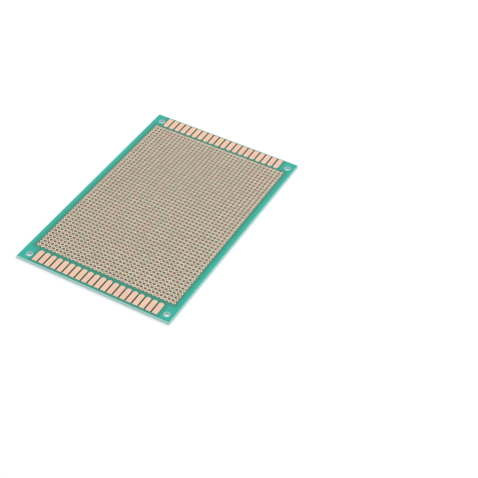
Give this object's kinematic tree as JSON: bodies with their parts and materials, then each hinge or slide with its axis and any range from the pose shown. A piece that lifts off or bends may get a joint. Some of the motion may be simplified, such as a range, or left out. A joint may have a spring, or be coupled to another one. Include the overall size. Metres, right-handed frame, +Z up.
{
  "type": "prototype board",
  "caption": "Flat drilled circuit board with a grid of copper solder pads, a row of contact fingers at each end, green mask on both faces and four corner mounting holes.",
  "frame": {"origin": "centre of the board's underside, which is the component side", "axes": "+Z up out of the copper side, X across the board along the rows of contact fingers, +Y along the board from the front contacts to the back contacts"},
  "size_m": [0.1, 0.15, 0.0017],
  "materials": {
    "glass_fibre": "cut glass-fibre laminate, satin",
    "green_mask": "semi-gloss green solder mask",
    "pad_copper": "bare copper under clear flux, satin",
    "contact_copper": "bare copper under clear flux, satin",
    "white_ink": "matte printed ink"
  },
  "bodies": {
    "root": {"laminate": "glass_fibre", "component_side_mask": "green_mask", "copper_side_mask": "green_mask", "solder_pads": "pad_copper", "front_contacts": "contact_copper", "back_contacts": "contact_copper"}
  },
  "joints": []
}
